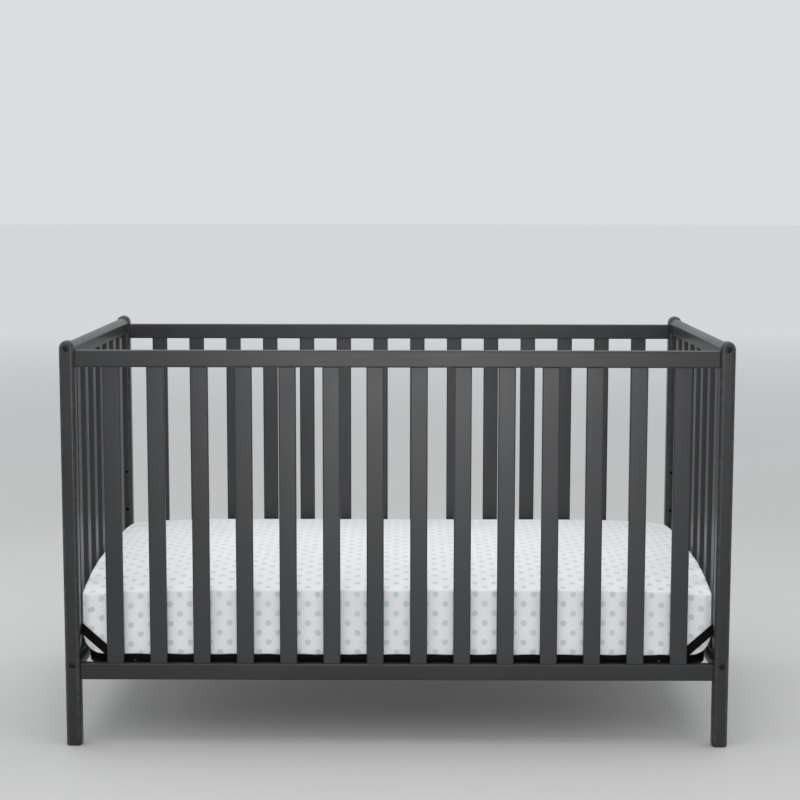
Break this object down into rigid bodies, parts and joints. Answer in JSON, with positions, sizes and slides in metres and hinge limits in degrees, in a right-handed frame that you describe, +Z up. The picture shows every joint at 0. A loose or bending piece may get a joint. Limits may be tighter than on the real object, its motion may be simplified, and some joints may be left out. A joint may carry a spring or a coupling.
{
  "type": "baby crib",
  "caption": "Slatted baby crib with half-round posts, a steel mattress support hung at one of three heights, and a mattress in a dotted fitted sheet.",
  "frame": {"origin": "on the floor at the centre of the crib's footprint", "axes": "+X along the length to the right end, +Y from the front side to the rear side, +Z up"},
  "size_m": [1.394, 0.766, 0.857],
  "materials": {
    "charcoal_paint": "satin charcoal paint over wood",
    "black_steel": "black powder coat",
    "black_bolt": "black oxide, low gloss",
    "mattress_ticking": "woven ticking",
    "dotted_cotton": "white cotton jersey printed with pale grey and mint dots"
  },
  "bodies": {
    "frame": {"post_front_left": "charcoal_paint", "post_front_right": "charcoal_paint", "post_rear_left": "charcoal_paint", "post_rear_right": "charcoal_paint", "front_top_rail": "charcoal_paint", "front_bottom_rail": "charcoal_paint", "rear_top_rail": "charcoal_paint", "rear_bottom_rail": "charcoal_paint", "front_slat_01": "charcoal_paint", "front_slat_02": "charcoal_paint", "front_slat_03": "charcoal_paint", "front_slat_04": "charcoal_paint", "front_slat_05": "charcoal_paint", "front_slat_06": "charcoal_paint", "front_slat_07": "charcoal_paint", "front_slat_08": "charcoal_paint", "front_slat_09": "charcoal_paint", "front_slat_10": "charcoal_paint", "front_slat_11": "charcoal_paint", "front_slat_12": "charcoal_paint", "front_slat_13": "charcoal_paint", "front_slat_14": "charcoal_paint", "rear_slat_01": "charcoal_paint", "rear_slat_02": "charcoal_paint", "rear_slat_03": "charcoal_paint", "rear_slat_04": "charcoal_paint", "rear_slat_05": "charcoal_paint", "rear_slat_06": "charcoal_paint", "rear_slat_07": "charcoal_paint", "rear_slat_08": "charcoal_paint", "rear_slat_09": "charcoal_paint", "rear_slat_10": "charcoal_paint", "rear_slat_11": "charcoal_paint", "rear_slat_12": "charcoal_paint", "rear_slat_13": "charcoal_paint", "rear_slat_14": "charcoal_paint", "left_top_rail": "charcoal_paint", "left_bottom_rail": "charcoal_paint", "right_top_rail": "charcoal_paint", "right_bottom_rail": "charcoal_paint", "left_end_slats": "charcoal_paint", "right_end_slats": "charcoal_paint", "top_bolt_front_left": "black_bolt", "bottom_bolt_front_left": "black_bolt", "top_bolt_front_right": "black_bolt", "bottom_bolt_front_right": "black_bolt", "top_bolt_rear_left": "black_bolt", "bottom_bolt_rear_left": "black_bolt", "top_bolt_rear_right": "black_bolt", "bottom_bolt_rear_right": "black_bolt"},
    "mattress_support": {"support_frame": "black_steel", "spring_deck": "black_steel", "hanger_front_left": "black_steel", "hanger_front_right": "black_steel", "hanger_rear_left": "black_steel", "hanger_rear_right": "black_steel"},
    "mattress": {"mattress_core": "mattress_ticking", "fitted_sheet": "dotted_cotton"}
  },
  "joints": [
    {"name": "support_height", "type": "slide", "parent": "frame", "child": "mattress_support", "axis": [0, 0, 1], "range_m": [0, 0.19]},
    {"name": "mattress_lift", "type": "slide", "parent": "mattress_support", "child": "mattress", "axis": [0, 0, 1], "range_m": [0, 0.7]}
  ]
}
